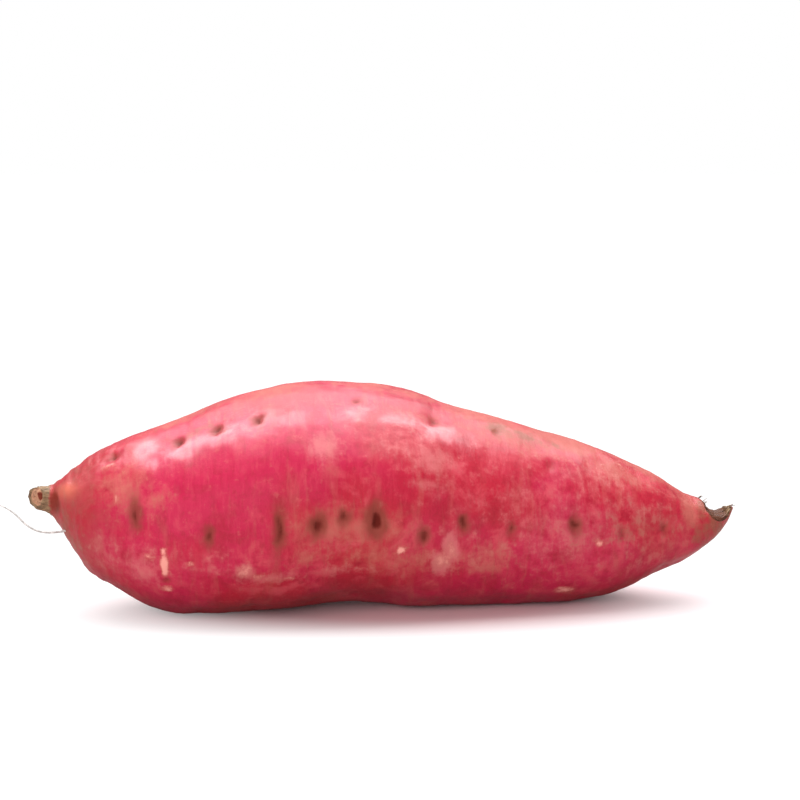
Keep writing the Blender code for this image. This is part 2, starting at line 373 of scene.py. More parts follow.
def smoothstep(low, high, values):
    share = np.clip((values - low) / (high - low), 0.0, 1.0)
    return share * share * (3.0 - 2.0 * share)


def bell(offset, reach):
    return np.exp(-((offset / reach) ** 2))


def blot(offset, aside):
    """A spot with a flat middle and rounded corners, a unit across to each side."""
    return np.exp(-np.abs(offset) ** SCAR_FLATNESS - np.abs(aside) ** SCAR_FLATNESS)


def turn_between(angle, other):
    """The turn from the other angle to this one, from -180 to 180 degrees."""
    return (angle - other + 180.0) % 360.0 - 180.0


def noise_at(places, along, around):
    """Smooth noise at each place, for lumps of this size along and round the root."""
    sizes = np.array((along, around, around))
    return np.array([noise.noise(place) for place in places / sizes])


class Wire:
    """A socket's output that Python expressions can work with, each as a Math node."""

    def __init__(self, nodes, socket):
        self.nodes = nodes
        self.socket = socket

    def math(self, operation, *values):
        return self.nodes.node("ShaderNodeMath", {"operation": operation}, dict(enumerate(values)))

    def __add__(self, other):
        return self.math("ADD", self, other)

    def __sub__(self, other):
        return self.math("SUBTRACT", self, other)

    def __rsub__(self, other):
        return self.math("SUBTRACT", other, self)

    def __mul__(self, other):
        return self.math("MULTIPLY", self, other)

    __radd__ = __add__
    __rmul__ = __mul__


class Nodes:
    """Makes the nodes of one tree."""

    def __init__(self, tree):
        self.tree = tree

    def node(self, kind, settings, sockets, output=0):
        """Adds a node: its settings first, then the values or links of its sockets."""
        made = self.tree.nodes.new(kind)
        for name, value in settings.items():
            setattr(made, name, value)
        for name, value in sockets.items():
            if isinstance(value, Wire):
                self.tree.links.new(value.socket, made.inputs[name])
            else:
                made.inputs[name].default_value = value
        return Wire(self, made.outputs[output])

    def place(self):
        """Object coordinates, in millimetres."""
        metres = self.node("ShaderNodeTexCoord", {}, {}, "Object")
        return self.scaled(metres, (1.0 / MM,) * 3)

    def scaled(self, vector, factors):
        return self.node("ShaderNodeVectorMath", {"operation": "MULTIPLY"}, {0: vector, 1: factors})

    def attribute(self, name):
        return self.node("ShaderNodeAttribute", {"attribute_name": name}, {}, "Fac")

    def noise(self, vector, size, detail=3.0, roughness=0.5, distortion=0.0):
        sockets = {
            "Vector": vector,
            "Scale": 1.0 / size,
            "Detail": detail,
            "Roughness": roughness,
            "Distortion": distortion,
        }
        return self.node("ShaderNodeTexNoise", {}, sockets)

    def step(self, value, low, high):
        """A smooth step from 0 at low to 1 at high."""
        sockets = {"Value": value, "From Min": low, "From Max": high}
        return self.node("ShaderNodeMapRange", {"interpolation_type": "SMOOTHSTEP"}, sockets)

    def mix(self, share, colour, other):
        """One colour turning into another as the share goes from 0 to 1."""
        settings = {"data_type": "RGBA", "blend_type": "MIX", "clamp_factor": True}
        return self.node("ShaderNodeMix", settings, {0: share, 6: colour, 7: other}, 2)

    def bump(self, height, depth, strength=1.0):
        return self.node("ShaderNodeBump", {}, {"Height": height, "Distance": depth, "Strength": strength})

    def principled(self, sockets):
        return self.node("ShaderNodeBsdfPrincipled", {}, sockets)

    def finish(self, shader, kind="ShaderNodeOutputMaterial"):
        output = self.tree.nodes.new(kind)
        self.tree.links.new(shader.socket, output.inputs["Surface"])


def empty_material(name):
    material = bpy.data.materials.new(name)
    material.use_nodes = True
    material.node_tree.nodes.clear()
    return material, Nodes(material.node_tree)


def rgba(colour):
    return (*colour, 1.0)


def shaded(colour, share):
    """A darker shade of a colour."""
    return rgba([share * part for part in colour])


def swing(pattern, amount):
    """A noise made to swing about 0, by half the amount to each side."""
    return (pattern - 0.5) * amount


class SkinPaint:
    """Paints the skin one layer over another, by noises and by the marks that its mesh carries."""

    def __init__(self, nodes, look):
        self.nodes = nodes
        self.look = look
        self.marks = {name: nodes.attribute(name) for name in OPEN_MARKS + END_MARKS}
        place = nodes.place()
        rings = nodes.scaled(place, (1.0, 0.2, 0.2))
        length_wise = nodes.scaled(place, (0.18, 1.0, 1.0))
        # Each noise by its size, detail, roughness and distortion
        self.broad = nodes.noise(place, 26.0, 2.0)
        self.patch = nodes.noise(place, 8.0, 5.0, 0.6, 0.4)
        self.mottle = nodes.noise(place, 3.2, 5.0, 0.65)
        self.grain = nodes.noise(place, 0.7, 3.0, 0.6)
        self.streak = nodes.noise(rings, 1.0, 3.0, 0.6, 0.5)
        self.wide_streak = nodes.noise(rings, 3.6, 3.0, 0.55, 0.6)
        self.scuff = nodes.noise(length_wise, 0.8, 3.0, 0.6)
        self.ragged = nodes.noise(place, 1.6, 4.0, 0.7)
        self.colour = rgba(look.crimson)

    def cover(self, share, colour):
        """Lays a colour over what is painted so far, as strongly as the share says."""
        self.colour = self.nodes.mix(share, self.colour, colour)

    def clean_skin(self):
        """Crimson skin with magenta zones, mottled and streaked paler and darker."""
        rose, scurf, dark = rgba(self.look.rose), rgba(self.look.scurf), rgba(self.look.dark)
        zone = self.marks["zone"]
        calm = 1.0 - zone * 0.55
        self.cover(self.nodes.step(self.broad + zone * 0.3, 0.46, 0.72), rgba(self.look.magenta))
        # Each layer starts at one value of its pattern and is full at another
        layers = (
            (self.patch, 0.50, 0.72, 0.85 * calm, rose),
            (self.patch, 0.50, 0.28, 0.55, dark),
            (self.wide_streak, 0.50, 0.75, 0.32, scurf),
            (self.streak, 0.50, 0.72, 0.28, dark),
            (self.streak, 0.48, 0.30, 0.18, rose),
            (self.mottle, 0.52, 0.72, 0.38 * calm, rose),
            (self.mottle, 0.46, 0.30, 0.42, dark),
            (self.grain, 0.58, 0.75, 0.18, rose),
            (self.grain, 0.42, 0.28, 0.18, dark),
        )
        for pattern, start, full, strength, colour in layers:
            self.cover(self.nodes.step(pattern, start, full) * strength, colour)

    def neck(self):
        """Redder skin near the stem, with olive streaks."""
        neck = self.marks["neck"]
        worn = neck * 0.75 + swing(self.mottle, 1.4) + swing(self.patch, 1.5)
        self.cover(self.nodes.step(worn, 0.1, 1.0) * 0.7, rgba(self.look.neck))
        olive = neck * 0.5 + self.streak * 0.5 + self.mottle * 0.6
        self.cover(self.nodes.step(olive, 0.98, 1.25) * 0.6, shaded(self.look.scurf, 0.62))

    def dust(self):
        """Tan scurf, partly painted sheen on the top ridge, soft pale blotches, browned skin. Returns how
        dusty it is.
        """
        # Near the top ridge, about 90 degrees round, this tan also paints the paler sheen of the top edge
        dust = self.marks["dust"] + swing(self.mottle, 1.4) + swing(self.streak, 0.7)
        dusty = self.nodes.step(dust, 0.25, 1.1)
        self.cover(dusty * 0.75, rgba(self.look.scurf))
        blotch = self.marks["blotch"] + swing(self.mottle, 1.3) + swing(self.streak, 0.6)
        self.cover(self.nodes.step(blotch, 0.2, 1.1) * 0.6, rgba(self.look.blotch))
        brown = self.marks["brown"] + swing(self.mottle, 1.6)
        self.cover(self.nodes.step(brown, 0.35, 1.1) * 0.8, rgba(self.look.brown))
        return dusty

    def eyes(self):
        """The halo and the core of each eye, which it returns."""
        halo = self.nodes.step(self.marks["halo"] + swing(self.ragged, 0.45), 0.05, 0.75)
        self.cover(halo * 0.85, rgba(self.look.halo))
        core = self.nodes.step(self.marks["eye"] + swing(self.ragged, 0.3), 0.20, 0.95)
        self.cover(core * 0.9, rgba(self.look.eye))
        return halo, core

    def scars(self):
        """Pale scars with a dull edge, and one painted highlight in the same pale. Returns where they lie.
        """
        scar = self.marks["scar"] + swing(self.ragged, 0.6) + swing(self.mottle, 0.6)
        healed_and_highlit = self.nodes.step(scar, 0.25, 0.85)
        self.cover(self.nodes.step(scar, 0.10, 0.30) * 0.3, rgba(self.look.scurf))
        self.cover(healed_and_highlit * 0.85, rgba(self.look.pale))
        return healed_and_highlit

    def stem(self):
        """The bump with its painted highlight, the corky bark, painted shade in the groove behind it, the
        cut wood.
        """
        nodes, look, marks = self.nodes, self.look, self.marks
        # The bump's pale orange: its own tone together with a painted highlight
        self.cover(marks["bump"] * 0.8, rgba(look.bump))
        cork = nodes.mix(nodes.step(self.scuff, 0.35, 0.7), rgba(look.bark), shaded(look.bark, 0.4))
        self.cover(nodes.step(marks["bark"] + swing(self.ragged, 1.1), 0.30, 0.80), cork)
        # Painted shade: the groove behind the stem is darkened
        crease = nodes.step(marks["crease"] + swing(self.ragged, 0.3), 0.15, 0.70)
        self.cover(crease * 0.9, rgba(look.crease))
        wood = nodes.mix(nodes.step(self.ragged, 0.4, 0.65), rgba(look.wood), shaded(look.wood, 0.65))
        pith = nodes.step(marks["pith"] + swing(self.ragged, 0.5), 0.3, 0.8)
        wood = nodes.mix(pith, wood, rgba(look.pith))
        self.cover(nodes.step(marks["cut"] + swing(self.ragged, 0.4), 0.3, 0.7), wood)

    def tear(self):
        """The dried flesh of the torn tail, with darker strands along it."""
        nodes, look = self.nodes, self.look
        flesh = nodes.mix(self.marks["lip"], rgba(look.torn), rgba(look.lip))
        strands = nodes.step(self.scuff, 0.40, 0.66) * 0.7
        flesh = nodes.mix(strands, flesh, shaded(look.torn, 0.25))
        self.cover(nodes.step(self.marks["torn"] + swing(self.ragged, 0.3), 0.25, 0.6), flesh)


def skin_material(look):
    """Magenta and red skin, mottled and streaked, with dust, scars, eyes, bark and torn flesh."""
    material, nodes = empty_material("sweet_potato_skin")
    paint = SkinPaint(nodes, look)
    paint.clean_skin()
    paint.neck()
    dusty = paint.dust()
    halo, core = paint.eyes()
    healed_and_highlit = paint.scars()
    paint.stem()
    paint.tear()

    neck, bark, torn, wax = (paint.marks[name] for name in ("neck", "bark", "torn", "wax"))
    rough = look.roughness + swing(paint.mottle, 0.3)
    rough = rough + dusty * 0.15 + halo * 0.20 + core * 0.15 + healed_and_highlit * 0.12
    rough = rough + neck * 0.12 + bark * 0.25 + torn * 0.35
    gloss = 0.16 + nodes.step(wax + swing(paint.patch, 1.6), 0.25, 1.0) * 0.84
    height = paint.mottle * 0.6 + paint.streak * 0.6 + paint.grain * 0.4
    height = height + paint.ragged * torn * 2.0 + paint.scuff * bark * 2.0
    surface = nodes.principled(
        {
            "Base Color": paint.colour,
            "Roughness": rough,
            "IOR": 1.37,
            "Coat Weight": gloss * (1.0 - halo),
            "Coat Roughness": 0.22,
            "Normal": nodes.bump(height, look.wrinkles, 0.6),
        }
    )
    nodes.finish(surface)
    return material


def fibre_material(name, colour, dark_share):
    """Dry root fibre, lighter and darker along its length."""
    material, nodes = empty_material(name)
    place = nodes.place()
    blotch = nodes.noise(place, 1.1, 3.0, 0.6)
    tone = nodes.mix(nodes.step(blotch, 0.35, 0.65), rgba(colour), shaded(colour, dark_share))
    grain = nodes.bump(nodes.noise(place, 0.15, 2.0), 0.03 * MM)
    rough = 0.55 + swing(blotch, 0.3)
    nodes.finish(nodes.principled({"Base Color": tone, "Roughness": rough, "Normal": grain}))
    return material


class MiddleLine:
    """The middle of the solid at places along it, in millimetres."""

    def __init__(self, tree):
        self.tree = tree
        self.places = np.linspace(STEM_INSET - HALF_LENGTH, HALF_LENGTH - TAIL_INSET, LINE_PLACES)
        aside, height = 0.0, LINE_START
        middles = []
        for x in self.places:
            for _ in range(LINE_PASSES):
                aside = self.between((x, 0.0, height), (0.0, 1.0, 0.0)).y
                height = self.between((x, aside, 0.0), (0.0, 0.0, 1.0)).z
            middles.append((aside, height))
        middles = np.array(middles)
        for _ in range(LINE_SMOOTHING):
            middles[1:-1] = (middles[:-2] + 2.0 * middles[1:-1] + middles[2:]) / 4.0
        self.middles = middles

    def between(self, place, direction):
        """The middle between the first points met from far off on both sides of a place."""
        far = Vector(direction) * LINE_FAR_OFF
        hits = [self.tree.ray_cast(Vector(place) + side, -side)[0] for side in (far, -far)]
        if None in hits:
            raise RuntimeError(f"The solid isn't there at {place}")
        return (hits[0] + hits[1]) / 2.0

    def at(self, x):
        return np.stack([np.interp(x, self.places, self.middles[:, i]) for i in (0, 1)], axis=-1)


def search_tree():
    """A search tree of the solid in millimetres, from a merged copy of its loose triangles."""
    solid = bmesh.new()
    solid.from_mesh(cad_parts[NODE].data)
    bmesh.ops.remove_doubles(solid, verts=solid.verts, dist=MERGE * MM)
    bmesh.ops.scale(solid, verts=solid.verts, vec=(1.0 / MM,) * 3)
    tree = BVHTree.FromBMesh(solid)
    solid.free()
    return tree


def ray_for(share, angle, line):
    """The start and direction of the ray that places a point of the ball on the skin."""
    stem, tail = -HALF_LENGTH + STEM_INSET, HALF_LENGTH - TAIL_INSET
    lean, aside = 0.0, 1.0
    if share < STEM_CAP:
        tilt = share / STEM_CAP * math.pi / 2.0
        x, lean, aside = stem, -math.cos(tilt), math.sin(tilt)
    elif share > 1.0 - TAIL_CAP:
        tilt = (1.0 - share) / TAIL_CAP * math.pi / 2.0
        x, lean, aside = tail, math.cos(tilt), math.sin(tilt)
    else:
        u = (share - STEM_CAP) / (1.0 - STEM_CAP - TAIL_CAP)
        x = stem + (tail - stem) * (u - END_CROWDING * math.sin(2.0 * math.pi * u) / (2.0 * math.pi))
    y, z = line.at(x)
    turn = math.radians(angle)
    return Vector((x, y, z)), Vector((lean, -aside * math.cos(turn), aside * math.sin(turn)))


def all_eyes():
    """Every eye, the ones in the rows that face away from the front at seeded distances."""
    draw = random.Random(EYE_SEED)
    shades = random.Random(EYE_SEED + 1)
    eyes = list(FRONT_EYES + TOP_EYES + FAINT_EYES)
    for row, plainness in HIDDEN_ROWS:
        along = HIDDEN_REACH[0] + draw.uniform(0.0, HIDDEN_GAP[0])
        while along < HIDDEN_REACH[1]:
            angle = row + draw.uniform(-HIDDEN_STRAY, HIDDEN_STRAY)
            length = draw.uniform(*HIDDEN_LENGTH)
            eyes.append((along, angle, length, plainness * shades.uniform(*HIDDEN_DARKNESS)))
            along += draw.uniform(*HIDDEN_GAP)
    return eyes


def all_scars():
    """Every pale spot: those listed, one a painted highlight, and scars facing away from the front at
    seeded places.
    """
    draw = random.Random(SCAR_SEED)
    scars = list(SCARS)
    for _ in range(HIDDEN_SCARS):
        scars.append([draw.uniform(*limits) for limits in HIDDEN_SCAR_RANGES])
    return scars


def coarse_skin(tree, line, eyes):
    """A ball whose points are cast out onto the solid, with the pits of its eyes filled."""
    skin = bmesh.new()
    bmesh.ops.create_uvsphere(
        skin,
        u_segments=SEGMENTS,
        v_segments=RINGS,
        radius=1.0,
        matrix=Matrix.Rotation(math.radians(-90.0), 4, "Y"),
    )
    near_eyes = {}
    for vertex in skin.verts:
        share = math.acos(max(-1.0, min(1.0, -vertex.co.x))) / math.pi
        angle = math.degrees(math.atan2(vertex.co.z, -vertex.co.y))
        start, direction = ray_for(share, angle, line)
        hit = tree.ray_cast(start, direction)[0]
        if hit is None:
            raise RuntimeError("A ray from the middle line missed the solid")
        vertex.co = hit
        along, radius = hit.x + HALF_LENGTH, (hit - start).length
        for place, centre, _, _ in eyes:
            aside = radius * math.radians(turn_between(angle, centre))
            if math.hypot(along - place, aside * EYE_SQUASH) < EYE_CLEARANCE:
                near_eyes[vertex] = direction
                break
    for _ in range(EYE_SMOOTHING):
        before = [vertex.co.copy() for vertex in near_eyes]
        bmesh.ops.smooth_vert(
            skin, verts=list(near_eyes), factor=0.5, use_axis_x=True, use_axis_y=True, use_axis_z=True
        )
        for (vertex, outward), place in zip(near_eyes.items(), before):
            if (vertex.co - place).dot(outward) < 0.0:
                vertex.co = place
    bmesh.ops.recalc_face_normals(skin, faces=skin.faces)
    return skin


def read_vectors(collection, name, count):
    values = np.empty(count * 3)
    collection.foreach_get(name, values)
    return values.reshape(-1, 3)


class SkinCarver:
    """The fine skin as arrays in millimetres, and the tools that carve and mark it."""

    def __init__(self, mesh, tree, line):
        self.mesh = mesh
        self.count = len(mesh.vertices)
        self.points = read_vectors(mesh.vertices, "co", self.count)
        self.grip_ends(tree)
        mesh.vertices.foreach_set("co", self.points.ravel())
        mesh.update()
        self.outward = read_vectors(mesh.vertex_normals, "vector", self.count)
        self.along = self.points[:, 0] + HALF_LENGTH
        across = self.points[:, 1:] - line.at(self.points[:, 0])
        self.radius = np.linalg.norm(across, axis=1)
        self.angle = np.degrees(np.arctan2(across[:, 1], -across[:, 0]))
        self.height = np.zeros(self.count)
        self.marks = {}

    def grip_ends(self, tree):
        along = self.points[:, 0] + HALF_LENGTH
        grip = np.maximum(1.0 - smoothstep(*STEM_GRIP, along), smoothstep(*TAIL_GRIP, along))
        for i in np.nonzero(grip > 0.0)[0]:
            nearest = np.array(tree.find_nearest(Vector(self.points[i]))[0])
            self.points[i] += grip[i] * (nearest - self.points[i])

    def aside(self, angle):
        """The distance round the root from the line along it at this angle."""
        return self.radius * np.radians(turn_between(self.angle, angle))

    def spot(self, place, angle, reach_along, reach_round):
        """A soft oval spot, 1 in its middle."""
        return bell(self.along - place, reach_along) * bell(self.aside(angle), reach_round)

    def relief(self, lumps):
        """Smooth lumps of several sizes, laid over each other."""
        return sum(height * noise_at(self.points, along, around) for along, around, height in lumps)

    def mark(self, name, values):
        """Keeps the larger of the values marked so far under this name."""
        self.marks[name] = np.maximum(self.marks.get(name, np.zeros(self.count)), values)

    def uneven(self):
        self.height += smoothstep(*LUMPS_FROM, self.along) * self.relief(LUMPS)

    def eyes(self, eyes, depth):
        """Each eye is a dark slit across the root, in a hollow between two soft lips."""
        warp = noise_at(self.points, EYE_WAVER, EYE_WAVER)
        sway = noise_at(self.points[:, ::-1], EYE_WAVER, EYE_WAVER)
        for place, angle, length, darkness in eyes:
            aside = self.aside(angle) + EYE_STRAY_ROUND * warp
            bow = EYE_BOW * aside * aside / length
            offset = self.along - place + bow + EYE_STRAY_ALONG * sway
            strength = EYE_LEAST_DEPTH + (1.0 - EYE_LEAST_DEPTH) * darkness
            for shift, reach, share, height in EYE_PARTS:
                part = bell(offset - shift, reach) * bell(aside, share * length)
                self.height += depth * strength * height * part
            for name, reach, growth, share in EYE_MARKS:
                spot = bell(offset, reach + growth * darkness) * bell(aside, share * length)
                self.mark(name, darkness * spot)

    def scars(self, scars):
        """Each is a flat pale spot with a wavering edge, a little raised; one is a painted highlight."""
        bend = noise_at(self.points, SCAR_WAVER, SCAR_WAVER)
        for place, angle, reach_along, reach_round, strength in scars:
            offset = (self.along - place) / reach_along + SCAR_STRAY_ALONG * bend
            aside = self.aside(angle) / reach_round - SCAR_STRAY_ROUND * bend
            spot = blot(offset, aside)
            self.height += SCAR_RISE * strength * smoothstep(*SCAR_EDGE, spot)
            self.mark("scar", strength * spot)

    def regions(self, name, regions):
        for *where, strength in regions:
            self.mark(name, strength * self.spot(*where))

    def rise(self, name, rise):
        """A marked rise of the skin, or a hollow if its height is below 0."""
        *where, height = rise
        spot = self.spot(*where)
        self.height += height * spot
        self.mark(name, spot)

    def stem(self):
        """The cut face with its pith and ring, the bark and crease behind it, and a bump."""
        from_middle = np.linalg.norm(self.points - np.array(CUT_MIDDLE), axis=1)
        from_pith = np.linalg.norm(self.points - np.array(PITH_PLACE), axis=1)
        on_face = smoothstep(*CUT_LOOKS, self.outward @ np.array(CUT_FACING)) * (self.along < CUT_TO)
        self.mark("cut", on_face * (1.0 - smoothstep(*CUT_RIM, from_middle)))
        self.mark("pith", on_face * (1.0 - smoothstep(*PITH_REACH, from_pith)))
        rim = RIM_HEIGHT * bell(from_middle - CUT_RIM[1], RIM_WIDTH)
        ring = RING_HEIGHT * bell(from_pith - PITH_REACH[1], RING_WIDTH)
        pith = PITH_DEPTH * bell(from_pith, PITH_REACH[0])
        self.height += on_face * (rim + ring - pith)
        bark = 1.0 - smoothstep(*BARK_TO, self.along)
        self.height += bark * self.relief(BARK_RELIEF)
        self.mark("bark", bark)
        neck = 1.0 - smoothstep(*NECK_TO, self.along)
        self.height += neck * (1.0 - bark) * self.relief(NECK_FOLDS)
        self.mark("neck", neck)
        self.rise("crease", CREASE)
        self.rise("bump", BUMP)

    def tail(self):
        """The hollow that was torn out of the tail, and the brown skin round it."""
        squash = np.array((1.0, 1.0 / TEAR_WIDENING, 1.0))
        from_centre = np.linalg.norm((self.points - np.array(TEAR_CENTRE)) * squash, axis=1)
        torn = 1.0 - smoothstep(*TEAR_EDGE, from_centre - TEAR_RADIUS)
        torn = torn * (self.along > TEAR_FROM)
        self.height += torn * self.relief(TORN_RELIEF)
        self.mark("torn", torn)
        self.mark("lip", smoothstep(*TEAR_LIP, self.along))
        self.mark("brown", TAIL_BROWN_STRENGTH * smoothstep(*TAIL_BROWN, self.along))

    def finish(self):
        """Moves the skin by its heights, keeps it above the table, and stores the marks."""
        points = (self.points + self.outward * self.height[:, None]) * MM
        points[:, 2] = np.maximum(points[:, 2], 0.0)
        self.mesh.vertices.foreach_set("co", points.ravel())
        for name, values in self.marks.items():
            attribute = self.mesh.attributes.new(name, "FLOAT", "POINT")
            attribute.data.foreach_set("value", values)
        self.mesh.update()
        self.mesh.shade_smooth()


def subdivided(mesh, levels):
    """A new mesh with a Subdivision Surface applied."""
    helper = bpy.data.objects.new("subdivided", mesh)
    bpy.context.scene.collection.objects.link(helper)
    modifier = helper.modifiers.new("Subdivision", "SUBSURF")
    modifier.levels = modifier.render_levels = levels
    depsgraph = bpy.context.evaluated_depsgraph_get()
    finer = bpy.data.meshes.new_from_object(helper.evaluated_get(depsgraph))
    bpy.data.objects.remove(helper)
    return finer


def add_piece(name, mesh, material):
    """Adds a finished piece with the material it is given, which rides with the root."""
    mesh.name = name
    mesh.materials.clear()
    mesh.materials.append(material)
    piece = bpy.data.objects.new(name, mesh)
    bpy.context.scene.collection.objects.link(piece)
    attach(piece, BODY)
    return piece


def tube(name, strands, thickness):
    """A mesh of round strands: each is a list of points in millimetres with a share of the thickness."""
    curve = bpy.data.curves.new(name, "CURVE")
    curve.dimensions = "3D"
    curve.bevel_depth = thickness / 2.0
    curve.bevel_resolution = 2
    curve.use_fill_caps = True
    curve.resolution_u = 6
    for strand in strands:
        spline = curve.splines.new("NURBS")
        spline.points.add(len(strand) - 1)
        for point, (x, y, z, share) in zip(spline.points, strand):
            point.co = (x * MM, y * MM, z * MM, 1.0)
            point.radius = share
        spline.use_endpoint_u = True
        spline.order_u = 4
    helper = bpy.data.objects.new(name, curve)
    bpy.context.scene.collection.objects.link(helper)
    depsgraph = bpy.context.evaluated_depsgraph_get()
    mesh = bpy.data.meshes.new_from_object(helper.evaluated_get(depsgraph))
    bpy.data.objects.remove(helper)
    bpy.data.curves.remove(curve)
    mesh.shade_smooth()
    return mesh


def colour_property(name, description, default):
    return FloatVectorProperty(
        name=name, description=description, default=default, subtype="COLOR", size=3, min=0.0, max=1.0
    )


def length_property(name, description, default, least=0.0):
    return FloatProperty(name=name, description=description, default=default, min=least, unit="LENGTH")


def share_property(name, description, default):
    return FloatProperty(
        name=name, description=description, default=default, min=0.0, max=1.0, subtype="FACTOR"
    )


def power_property(name, description, default):
    return FloatProperty(name=name, description=description, default=default, min=0.0)


def angle_property(name, description, degrees):
    return FloatProperty(
        name=name, description=description, default=math.radians(degrees), subtype="ANGLE"
    )


class SweetPotatoSkin(bpy.types.PropertyGroup):
    magenta: colour_property("Magenta", "The brightest skin", (0.515, 0.010, 0.062))
    crimson: colour_property("Crimson", "The redder skin between", (0.475, 0.011, 0.034))
    rose: colour_property("Rose", "Thin, rubbed and mottled skin", (0.64, 0.075, 0.105))
    dark: colour_property("Dark", "The darkest clean skin", (0.34, 0.010, 0.025))
    scurf: colour_property("Scurf", "Tan, dusty and scurfy skin", (0.50, 0.13, 0.10))
    blotch: colour_property("Blotch", "Soft pale pink blotches", (0.70, 0.22, 0.22))
    neck: colour_property("Neck", "The redder skin near the stem", (0.34, 0.045, 0.040))
    # This pale also paints a highlight on the shoulder
    pale: colour_property("Scar", "Healed pale scars", (0.93, 0.41, 0.34))
    eye: colour_property("Eye", "The bottom of an eye", (0.10, 0.006, 0.003))
    halo: colour_property("Eye halo", "Brown skin round an eye", (0.235, 0.045, 0.030))
    # Its own orange tone together with a painted highlight on the bump
    bump: colour_property("Bump", "The orange bump on the neck", (0.72, 0.18, 0.12))
    # Painted shade: the dark of the groove behind the stem
    crease: colour_property("Crease", "The crease behind the stem", (0.20, 0.018, 0.008))
    bark: colour_property("Bark", "The bark of the stem stub", (0.29, 0.18, 0.10))
    wood: colour_property("Cut wood", "The cut face of the stem", (0.52, 0.27, 0.165))
    pith: colour_property("Pith", "The dark middle of the cut", (0.20, 0.035, 0.017))
    brown: colour_property("Tail brown", "The brown skin of the tail", (0.27, 0.085, 0.05))
    torn: colour_property("Torn flesh", "The dried flesh of the tear", (0.13, 0.04, 0.018))
    lip: colour_property("Torn lip", "The dried flesh at the tip", (0.25, 0.155, 0.075))
    roughness: share_property("Roughness", "How dull the clean skin is", 0.41)
    eye_depth: length_property("Eye depth", "How deep the eyes are", 0.0009)
    wrinkles: length_property("Wrinkles", "Height of the fine wrinkles", 0.00016)


class SweetPotatoHair(bpy.types.PropertyGroup):
    thickness: length_property("Thickness", "Thickness of the hair root", 0.0006, 0.0001)
    colour: colour_property("Colour", "Dry pale fibre", (0.70, 0.68, 0.66))


class SweetPotatoFibres(bpy.types.PropertyGroup):
    length: length_property("Length", "Longest torn fibre", 0.0015, 0.0005)
    thickness: length_property("Thickness", "Thickness of a fibre", 0.00018, 0.00005)
    colour: colour_property("Colour", "Dry brown fibre", (0.24, 0.12, 0.07))


class SweetPotatoStage(bpy.types.PropertyGroup):
    azimuth: angle_property("Azimuth", "Turn of the camera round the root", -5.0)
    elevation: angle_property("Elevation", "Height of the camera as an angle", 10.0)
    distance: length_property("Distance", "From the camera to its aim", 0.5916)
    surround: power_property("Surround", "Brightness of the white studio", 0.30)
    overhead: power_property("Overhead", "Power of the overhead light", 12.5)
    key: power_property("Key", "Power of the key light", 13.0)
    fill: power_property("Fill", "Power of the front light", 12.4)
    # A painted reflection: this pink shows only in the root's shade, standing in for the red the root
    # throws on the floor
    painted_floor_reflection: colour_property("Floor", "The pale floor, in the shade of the root", (0.95, 0.71, 0.74))
    floor_bounce: colour_property("Bounce", "The light that the floor throws back", (0.43, 0.335, 0.315))
    floor_sheen: share_property("Sheen", "How dull the floor is", 0.50)


class SWEETPOTATO_OT_skin(bpy.types.Operator):
    """Grow the skin over the solid and carve its eyes, scars, stem and tail"""

    bl_idname = "sweet_potato.skin"
    bl_label = "Skin"

    def execute(self, context):
        look = context.scene.sweet_potato_skin
        tree = search_tree()
        line = MiddleLine(tree)
        eyes = all_eyes()
        coarse = coarse_skin(tree, line, eyes)
        mesh = bpy.data.meshes.new("coarse_skin")
        coarse.to_mesh(mesh)
        coarse.free()
        carver = SkinCarver(subdivided(mesh, SUBDIVISIONS), tree, line)
        carver.uneven()
        carver.eyes(eyes, look.eye_depth / MM)
        carver.scars(all_scars())
        for name, regions in REGIONS.items():
            carver.regions(name, regions)
        carver.stem()
        carver.tail()
        carver.finish()
        piece = add_piece("skin", carver.mesh, skin_material(look))
        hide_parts(NODE)
        return {"FINISHED"}


class SWEETPOTATO_OT_hair_root(bpy.types.Operator):
    """Grow the fine root hair that leaves the neck below the stem"""

    bl_idname = "sweet_potato.hair_root"
    bl_label = "Hair root"

    def execute(self, context):
        look = context.scene.sweet_potato_hair
        mesh = tube("hair_root", [HAIR], look.thickness)
        add_piece("hair_root", mesh, fibre_material("hair_root", look.colour, 0.6))
        return {"FINISHED"}


class SWEETPOTATO_OT_fibres(bpy.types.Operator):
    """Fray the torn tail and the cut stem with short dry fibres"""

    bl_idname = "sweet_potato.fibres"
    bl_label = "Fibres"

    def execute(self, context):
        look = context.scene.sweet_potato_fibres
        tree = search_tree()
        draw = random.Random(FIBRE_SEED)
        strands = []
        for middle, spread, heading, count in FIBRE_TUFTS:
            for _ in range(count):
                stray = Vector([draw.uniform(-1.0, 1.0) for _ in range(3)])
                start = tree.find_nearest(Vector(middle) + stray * spread)[0]
                bent = Vector([draw.uniform(-1.0, 1.0) for _ in range(3)])
                way = (Vector(heading) + FIBRE_STRAY * bent).normalized()
                length = draw.uniform(*FIBRE_LENGTHS) * look.length / MM
                droop = Vector((0.0, 0.0, -FIBRE_DROOP * length * draw.random()))
                points = [start - FIBRE_SUNK * way]
                points += [start + share * length * way + sag * droop for share, sag in FIBRE_POINTS]
                strands.append([(*point, share) for point, share in zip(points, FIBRE_TAPER)])
        mesh = tube("fibres", strands, look.thickness)
        add_piece("fibres", mesh, fibre_material("dry_fibre", look.colour, 0.35))
        return {"FINISHED"}


